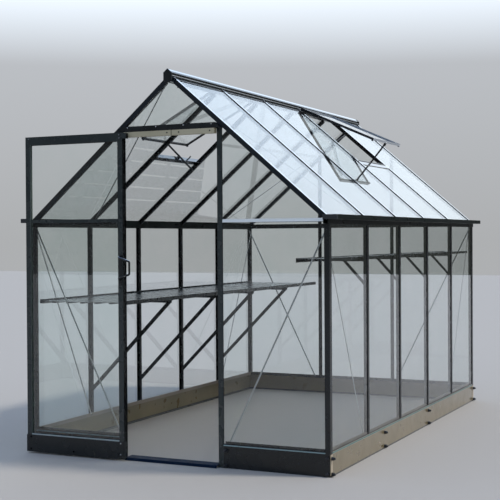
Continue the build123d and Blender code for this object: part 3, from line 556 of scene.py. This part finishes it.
class Piece:
    def __init__(self, name, finish, slot, body="greenhouse"):
        self.name = name
        self.material = finish.material
        self.slot = slot
        self.body = body
        self.verts = []
        self.faces = []

    def add(self, verts, faces, place):
        start = len(self.verts)
        self.verts.extend(place @ Vector(v) for v in verts)
        self.faces.extend(tuple(i + start for i in f) for f in faces)

    def box(self, corner, opposite, place=Matrix.Identity(4)):
        (x0, x1), (y0, y1), (z0, z1) = (sorted(pair) for pair in zip(corner, opposite))
        verts = [(x, y, z) for z in (z0, z1) for y in (y0, y1) for x in (x0, x1)]
        faces = [
            (0, 2, 3, 1), (4, 5, 7, 6), (0, 1, 5, 4), (2, 6, 7, 3), (0, 4, 6, 2), (1, 3, 7, 5)
        ]
        self.add(verts, faces, place)

    def turned(self, outline, sides, place):
        """Turns an outline of (radius, height) about its own Z axis."""
        verts = []
        faces = []
        for r, h in outline:
            for i in range(sides):
                a = 2 * math.pi * i / sides
                verts.append((r * math.cos(a), r * math.sin(a), h))
        for j in range(len(outline) - 1):
            for i in range(sides):
                n = (i + 1) % sides
                a, b = j * sides, (j + 1) * sides
                faces.append((a + i, a + n, b + n, b + i))
        faces.append(tuple((len(outline) - 1) * sides + i for i in range(sides)))
        faces.append(tuple(reversed(range(sides))))
        self.add(verts, faces, place)

    def hex_bolt(self, across, height, place):
        """A six-sided head or nut on a round washer."""
        washer_r = across * 0.62
        self.turned(((washer_r, 0.0), (washer_r, WASHER_T)), 20, place)
        r = across / math.sqrt(3.0)
        top = WASHER_T + height
        bevel = height * 0.15
        self.turned(((r, WASHER_T), (r, top - bevel), (r * 0.88, top)), 6, place)

    def stud(self, radius, base, height, place):
        top = base + height
        bevel_low = top - STUD_BEVEL
        self.turned(((radius, base), (radius, bevel_low), (radius * 0.8, top)), 12, place)

    def pan_head(self, radius, place):
        outline = (
            (radius, 0.0), (radius, radius * 0.2), (radius * 0.85, radius * 0.45),
            (radius * 0.55, radius * 0.6), (radius * 0.3, radius * 0.62),
            (radius * 0.28, radius * 0.25),
        )
        self.turned(outline, 16, place)

    def hole(self, radius, place):
        """A drilled hole, shown as a dark disc of painted shade that stands a hair proud of its
        face.
        """
        self.turned(((radius, -HOLE_SUNK), (radius, HOLE_PROUD)), 14, place)

    def done(self):
        mesh = bpy.data.meshes.new(self.name)
        mesh.from_pydata([tuple(v) for v in self.verts], [], self.faces)
        work = bmesh.new()
        work.from_mesh(mesh)
        bmesh.ops.recalc_face_normals(work, faces=work.faces)
        work.to_mesh(mesh)
        work.free()
        mesh.update()
        mesh.materials.append(self.material)
        obj = bpy.data.objects.new(self.name, mesh)
        bpy.context.scene.collection.objects.link(obj)
        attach(obj, self.body)


FRONT = (0.0, -1.0, 0.0)
REAR = (0.0, 1.0, 0.0)
LEFT = (-1.0, 0.0, 0.0)


def facing(at, normal, turn=0.0):
    """Places a head at a point, its axis along the outward normal."""
    spin = Vector(normal).to_track_quat("Z", "Y").to_matrix().to_4x4()
    return Matrix.Translation(at) @ spin @ Matrix.Rotation(turn, 4, "Z")


def slope_frame(side):
    """Frame of a roof face: x down the slope from the ridge line, y along, z outwards."""
    c, s = math.cos(ROOF_A), math.sin(ROOF_A)
    down = Vector((side * c, 0.0, -s))
    out = Vector((side * s, 0.0, c))
    axes = Matrix((down, out.cross(down), out)).transposed().to_4x4()
    return Matrix.Translation((0.0, 0.0, APEX_Z)) @ axes


def down_slope(x):
    return x / math.cos(ROOF_A)


# Rubber glazing strips beside the roof bar cappings, shorter in the bay with the vent
STRIP_W = 0.0022
STRIP_H = 0.0025
STRIP_LOW = -FLANGE
VENT_BAY = {-1: 1, 1: 3}
BELOW_VENT = VENT_SILL_X + 0.003
BELOW_RIDGE = RIDGE_HALF + 0.002
STRIP_END = down_slope(EAVE_X) - 0.001
roof_seals = Piece("roof_glazing_strips", rubber, "frame_paint")
for side in (-1, 1):
    plane = slope_frame(side)
    for k in range(1, BAYS):
        for edge in (-1, 1):
            bay = k if edge > 0 else k - 1
            start = down_slope(BELOW_VENT if bay == VENT_BAY[side] else BELOW_RIDGE)
            y = bar_y(k) + edge * CAP_W / 2
            roof_seals.box(
                (start, side * y, STRIP_LOW),
                (STRIP_END, side * (y + edge * STRIP_W), STRIP_LOW + STRIP_H),
                plane,
            )
    for end, inward in ((Y_FRONT, 1), (Y_REAR, -1)):
        y = end + inward * CAP_W
        roof_seals.box(
            (down_slope(BELOW_RIDGE), side * y, STRIP_LOW),
            (STRIP_END, side * (y + inward * STRIP_W), STRIP_LOW + STRIP_H),
            plane,
        )
roof_seals.done()

# Rubber strips round the wall panes, and round the front gable's low panes
wall_seals = Piece("wall_glazing_strips", rubber, "frame_paint")
for side in (-1, 1):
    x0 = side * PANE_X
    x1 = side * (PANE_X + STRIP_H)
    for k in range(BAYS):
        ya = Y_FRONT + POST if k == 0 else bar_y(k) + CAP_W / 2
        yb = Y_REAR - POST if k == BAYS - 1 else bar_y(k + 1) - CAP_W / 2
        wall_seals.box((x0, ya, SILL_LIP), (x1, ya + STRIP_W, EAVE_LOW))
        wall_seals.box((x0, yb - STRIP_W, SILL_LIP), (x1, yb, EAVE_LOW))
        wall_seals.box((x0, ya, SILL_LIP), (x1, yb, SILL_LIP + STRIP_W))
        wall_seals.box((x0, ya, EAVE_LOW - STRIP_W), (x1, yb, EAVE_LOW))
for side in (-1, 1):
    ya = Y_FRONT + FLANGE
    yb = ya - STRIP_H
    a, b = side * DOOR_POST_OUT, side * (HALF_W - POST)
    for x in (a, b - side * STRIP_W):
        wall_seals.box((x, ya, SILL_LIP), (x + side * STRIP_W, yb, GABLE_PANE_TOP))
    for z in (SILL_LIP, GABLE_PANE_TOP - STRIP_W):
        wall_seals.box((a, ya, z), (b, yb, z + STRIP_W))
wall_seals.done()

# Painted highlight along the upper edge of the ridge flanges, as thin light strips on them
HIGHLIGHT_LOW, HIGHLIGHT_HIGH = 2.2262, 2.2302
HIGHLIGHT_IN, HIGHLIGHT_OUT = RIDGE_HALF - 0.001, RIDGE_HALF + 0.0005
ridge_highlights = Piece("ridge_flange_highlights", ridge_highlight_finish, "frame_paint")
for side in (-1, 1):
    ridge_highlights.box((side * HIGHLIGHT_IN, RIDGE_FRONT, HIGHLIGHT_LOW), (side * HIGHLIGHT_OUT, RIDGE_REAR, HIGHLIGHT_HIGH))
ridge_highlights.done()

# Folded ends of the front and rear base rails, seen on the side faces at the corners, lighter than
# the base rails: painted light
RETURN_W = 0.029
RETURN_T = 0.0015
returns = Piece("base_corner_returns", lit_return_paint, "base_paint")
for side in (-1, 1):
    x0, x1 = side * HALF_W, side * (HALF_W + RETURN_T)
    for y in (Y_FRONT, Y_REAR - RETURN_W):
        returns.box((x0, y, 0.0), (x1, y + RETURN_W, BASE_H))
returns.done()

# Bolts of the base rails, in two rows: nuts on studs, each turned a little differently
NUT_ACROSS = 0.018
NUT_H = 0.014
STUD_R = 0.006
STUD_OUT = 0.008
BOLT_ROWS = (0.015, 0.1)
SIDE_TURN, END_TURN = 20.0, 30.0
CORNER_BOLT_IN = 0.014
CORNER_BOLT_X = 0.958
DOOR_BOLT_X = 0.346
SIDE_BOLTS = (
    (Y_FRONT + CORNER_BOLT_IN, HALF_W + RETURN_T),
    (-0.615, HALF_W),
    (0.33, HALF_W),
    (Y_REAR - CORNER_BOLT_IN, HALF_W + RETURN_T),
)
base_bolts = Piece("base_bolts", dark_steel, "frame_paint")


def nut_and_stud(at, normal, turn):
    place = facing(at, normal, turn)
    base_bolts.hex_bolt(NUT_ACROSS, NUT_H, place)
    base_bolts.stud(STUD_R, NUT_H, STUD_OUT, place)


for z in BOLT_ROWS:
    for side in (-1, 1):
        for y, x in SIDE_BOLTS:
            nut_and_stud((side * x, y, z), (side, 0.0, 0.0), z * SIDE_TURN)
        for x in (DOOR_BOLT_X, CORNER_BOLT_X):
            nut_and_stud((side * x, Y_FRONT, z), FRONT, z * END_TURN)
        nut_and_stud((side * CORNER_BOLT_X, Y_REAR, z), REAR, z * END_TURN)
base_bolts.done()

# Small bolts at the ends of the flat braces
BRACE_T = 0.002
BOLT_IN = 0.0045
BOLT_TURN = 0.3
small_bolts = Piece("small_bolts", dark_steel, "frame_paint")


def small_nut(at, normal, across=0.007):
    place = facing(at, normal, BOLT_TURN)
    height = across * 0.42
    small_bolts.hex_bolt(across, height, place)
    small_bolts.stud(across * 0.3, height, across * 0.3, place)


def two_ends(y):
    """A place near the front and its mirror place near the rear, each with its inward sign."""
    return ((y, 1.0), (Y_FRONT + Y_REAR - y, -1.0))


BRACE_LOW = BRACE_FOOT + BOLT_IN
GABLE_FOOT_X = DOOR_POST_OUT + 0.022
WALL_FOOT_Y = bar_y(1) - 0.025
ROOF_HEAD_X = RIDGE_HALF + 0.022
ROOF_FOOT_X = BAR_IN - 0.02
GABLE_BRACE_BOLTS = (
    (GABLE_BRACE_X - BOLT_IN, GABLE_BRACE_TOP - BOLT_IN),
    (GABLE_FOOT_X, BRACE_LOW),
)
WALL_BRACE_BOLTS = (
    (WALL_BRACE_Y + BOLT_IN, WALL_BRACE_TOP - BOLT_IN),
    (WALL_FOOT_Y, BRACE_LOW),
)
ROOF_BRACE_BOLTS = ((ROOF_HEAD_X, ROOF_BRACE_Y + BOLT_IN), (ROOF_FOOT_X, bar_y(1)))
for side in (-1, 1):
    for x, z in GABLE_BRACE_BOLTS:
        for y, inward in two_ends(Y_FRONT + POST + BRACE_T):
            small_nut((side * x, y, z), (0.0, inward, 0.0))
    for near_y, z in WALL_BRACE_BOLTS:
        for y, inward in two_ends(near_y):
            small_nut((side * (BAR_IN - BRACE_T), y, z), (-side, 0.0, 0.0))
    for x, near_y in ROOF_BRACE_BOLTS:
        for y, inward in two_ends(near_y):
            at = (side * x, y, roof_z(x, -BAR_DEPTH - BRACE_T))
            small_nut(at, (-side * math.sin(ROOF_A), 0.0, -math.cos(ROOF_A)))

# Small bolts of the bench brackets on the left wall and the shelf brackets on the right one
BENCH_BOLT_ACROSS, SHELF_BOLT_ACROSS = 0.008, 0.006
BENCH_ARM_FRONT = bar_y(1) - BENCH_ARM_Y
SHELF_ARM_FRONT = bar_y(1) - SHELF_ARM_Y
BENCH_BOLTS = ((-0.36, 0.891), (-0.925, 0.891), (-0.38, 0.87), (-0.93, 0.318))
SHELF_BOLTS = ((0.785, 1.158), (0.93, 1.158), (0.835, 1.144), (0.934, 1.037))
for k in range(1, BAYS):
    for x, z in BENCH_BOLTS:
        small_nut((x, bar_y(k) - BENCH_ARM_FRONT, z), FRONT, BENCH_BOLT_ACROSS)
    for x, z in SHELF_BOLTS:
        small_nut((x, bar_y(k) - SHELF_ARM_FRONT, z), FRONT, SHELF_BOLT_ACROSS)

# Pivots of the vent stays, a head on the stay and a nut behind the lug
STAY_PIVOTS = ((-0.5449, -0.59, 1.9283, -1.0), (0.565, 0.65, 1.9676, 1.0))
NUT_BACK = 0.0045
HEAD_BACK = 0.0015
PIVOT_R = 0.004
for x, y, z, sign in STAY_PIVOTS:
    small_nut((x, y + sign * NUT_BACK, z), (0.0, sign, 0.0))
    small_bolts.pan_head(PIVOT_R, facing((x, y - sign * HEAD_BACK, z), (0.0, -sign, 0.0)))
small_bolts.done()

# Rubber strips round the door pane
PANE_FRONT = DOOR_FRONT + 0.01
PANE_LEFT, PANE_RIGHT = DOOR_LEFT + STILE_W, DOOR_RIGHT - STILE_W
TRIM_TOP = KICK_HIGH + 0.007
door_seals = Piece("door_glazing_strips", rubber, "frame_paint", "door")
for x in (PANE_LEFT, PANE_RIGHT - STRIP_W):
    door_seals.box((x, PANE_FRONT, TRIM_TOP), (x + STRIP_W, PANE_FRONT - STRIP_H, PANE_TOP))
door_seals.box(
    (PANE_LEFT, PANE_FRONT, PANE_TOP - STRIP_W), (PANE_RIGHT, PANE_FRONT - STRIP_H, PANE_TOP)
)
door_seals.done()

# Pale edge strips along the feet of the panes, blue-green as cut glass edges; those of the gables
# and the door are lighter, which is painted light
TRIM_T = 0.0012
TRIM_LOW = BASE_H + 0.003
TRIM_HIGH = TRIM_LOW + 0.006
edge_trims = Piece("pane_edge_trims", edge_trim, "clear_glass")
gable_trims = Piece("gable_edge_trims", lit_front_trim, "clear_glass")
for side in (-1, 1):
    edge_trims.box(
        (side * HALF_W, Y_FRONT + POST, TRIM_LOW),
        (side * (HALF_W - TRIM_T), Y_REAR - POST, TRIM_HIGH),
    )
    gable_trims.box(
        (side * DOOR_POST_OUT, Y_FRONT, TRIM_LOW),
        (side * (HALF_W - POST), Y_FRONT + TRIM_T, TRIM_HIGH),
    )
gable_trims.box(
    (POST - HALF_W, Y_REAR - TRIM_T, TRIM_LOW), (HALF_W - POST, Y_REAR, TRIM_HIGH)
)
edge_trims.done()
gable_trims.done()
DOOR_TRIM_PROUD, DOOR_TRIM_SUNK = 0.002, 0.001
door_trims = Piece("door_pane_trim", lit_door_trim, "clear_glass", "door")
door_trims.box(
    (PANE_LEFT, DOOR_FRONT - DOOR_TRIM_PROUD, KICK_HIGH),
    (PANE_RIGHT, DOOR_FRONT + DOOR_TRIM_SUNK, TRIM_TOP),
)
door_trims.done()

# Screws and holes of the door
KICK_SCREW_R, KICK_SIDE_SCREW_R, HANDLE_SCREW_R = 0.006, 0.0045, 0.0032
BRIGHT_SCREW_R, CORNER_SCREW_R, DOOR_HOLE_R = 0.0042, 0.0038, 0.0035
KICK_SCREWS = ((-0.941, 0.027), (-0.634, 0.031), (-0.318, 0.04), (-0.941, 0.1))
KICK_SIDE_SCREWS_Z = (0.024, 0.1)
KICK_SIDE_SCREWS_Y = DOOR_FRONT + 0.008
HANDLE_SCREWS_Z = (1.03, 1.194)
HANDLE_SCREWS_X = DOOR_RIGHT - 0.017
HANDLE_FOOT_T = 0.003
BRIGHT_SCREWS = ((-0.307, 0.102), (-0.308, 0.037))
CORNER_SCREWS = ((-0.946, 1.9), (-0.307, 1.899), (-0.306, 1.88))
DOOR_HOLES = ((-0.935, 1.883), (-0.937, 1.872), (-0.296, 1.879), (-0.296, 1.897))


def front_heads(name, finish, slot, radius, y, places, body="door"):
    """One piece of like screw heads on a plane that looks to the front."""
    piece = Piece(name, finish, slot, body)
    for x, z in places:
        piece.pan_head(radius, facing((x, y, z), FRONT))
    piece.done()


front_heads("door_kick_screws", black_steel, "frame_paint", KICK_SCREW_R, KICK_FRONT, KICK_SCREWS)
door_screws = Piece("door_screws", dark_steel, "frame_paint", "door")
for z in KICK_SIDE_SCREWS_Z:
    door_screws.pan_head(KICK_SIDE_SCREW_R, facing((KICK_LEFT, KICK_SIDE_SCREWS_Y, z), LEFT))
for z in HANDLE_SCREWS_Z:
    at = (HANDLE_SCREWS_X, DOOR_FRONT - HANDLE_FOOT_T, z)
    door_screws.pan_head(HANDLE_SCREW_R, facing(at, FRONT))
door_screws.done()
front_heads(
    "door_bright_screws", zinc, "bare_aluminium", BRIGHT_SCREW_R, KICK_FRONT, BRIGHT_SCREWS
)
front_heads(
    "door_corner_screws", dull_steel, "bare_aluminium", CORNER_SCREW_R, DOOR_FRONT, CORNER_SCREWS
)
# Holes of the door frame, as dark discs of painted shade
door_holes = Piece("door_frame_holes", hole_shade, "frame_paint", "door")
for x, z in DOOR_HOLES:
    door_holes.hole(DOOR_HOLE_R, facing((x, DOOR_FRONT, z), FRONT))
door_holes.done()

# Rivets of the door head, and the holes and the joint of the track, both shown in painted shade
RIVET_R = 0.0035
RIVET_Z = 1.938
RIVETS = tuple((x, RIVET_Z) for x in (-0.266, -0.077, 0.102, 0.28))
front_heads(
    "door_head_rivets", zinc, "bare_aluminium", RIVET_R, HEAD_FRONT, RIVETS, "greenhouse"
)
TRACK_HOLE_R = 0.0045
TRACK_HOLE_Z = 1.9
TRACK_HOLES_X = (-0.9, -0.62, -0.34, -0.004, 0.072, 0.271)
TRACK_JOINT_LEFT, TRACK_JOINT_RIGHT = 0.0222, 0.0258
track_holes = Piece("door_track_holes", hole_shade, "frame_paint")
for x in TRACK_HOLES_X:
    track_holes.hole(TRACK_HOLE_R, facing((x, HEAD_FRONT, TRACK_HOLE_Z), FRONT))
# The joint of the track, as a dark strip of painted shade
track_holes.box(
    (TRACK_JOINT_LEFT, HEAD_FRONT - HOLE_PROUD, TRACK_LOW),
    (TRACK_JOINT_RIGHT, HEAD_FRONT + HOLE_SUNK, TRACK_HIGH),
)
track_holes.done()


# Floor and studio light
FLOOR_SIZE = 60.0
FLOOR_LOOK = {"Base Color": (0.44, 0.405, 0.36, 1.0), "Roughness": 0.9}


def add_floor():
    bpy.ops.mesh.primitive_plane_add(size=FLOOR_SIZE, location=(0.0, 0.0, 0.0))
    floor = bpy.context.object
    floor.name = "floor"
    floor.data.materials.append(Finish("floor", FLOOR_LOOK).material)


# Brightness of the studio from below to above: ahead, behind the camera and on the right
OVERHEAD = (0.30, 0.45, 0.8)
AHEAD = (
    (0.0, (0.42, 0.43, 0.44)),
    (0.15, (0.50, 0.52, 0.55)),
    (0.21, (0.95, 1.04, 1.14)),
    (0.27, (1.17, 1.3, 1.43)),
    (0.50, (0.9, 1.12, 1.42)),
    (1.0, OVERHEAD),
)
BEHIND = (
    (0.0, (0.10, 0.105, 0.11)),
    (0.22, (0.14, 0.15, 0.16)),
    (0.40, (0.60, 0.70, 0.85)),
    (1.0, OVERHEAD),
)
ASIDE = (
    (0.0, (0.06, 0.065, 0.06)),
    (0.14, (0.08, 0.09, 0.085)),
    (0.25, (0.9, 1.0, 1.12)),
    (1.0, OVERHEAD),
)
TURN_RIGHT = (-0.12, 0.15)
TURN_REAR = (-0.5, 0.1)


def add_studio():
    world = bpy.data.worlds.new("studio")
    bpy.context.scene.world = world
    tree = Tree(world)
    direction = tree.xyz(tree.read("ShaderNodeTexCoord", "Generated"))
    ahead, behind, aside = (tree.ramp(direction["Z"], stops) for stops in (AHEAD, BEHIND, ASIDE))
    to_right = tree.rise(direction["X"], *TURN_RIGHT)
    to_rear = tree.rise(direction["Y"], *TURN_REAR)
    sky = tree.mix(to_rear, behind, tree.mix(to_right, ahead, aside))
    background = tree.nodes["Background"].inputs
    tree.links.new(sky, background["Color"])
    background["Strength"].default_value = 1.0


TO_SUN = Vector((0.8, 0.25, 0.95))


def add_sun():
    light = bpy.data.lights.new("key_sun", "SUN")
    light.energy = 2.0
    light.angle = math.radians(8.0)
    light.color = (1.0, 0.96, 0.9)
    sun = bpy.data.objects.new("key_sun", light)
    sun.rotation_euler = TO_SUN.to_track_quat("Z", "Y").to_euler()
    bpy.context.scene.collection.objects.link(sun)


add_floor()
add_studio()
add_sun()
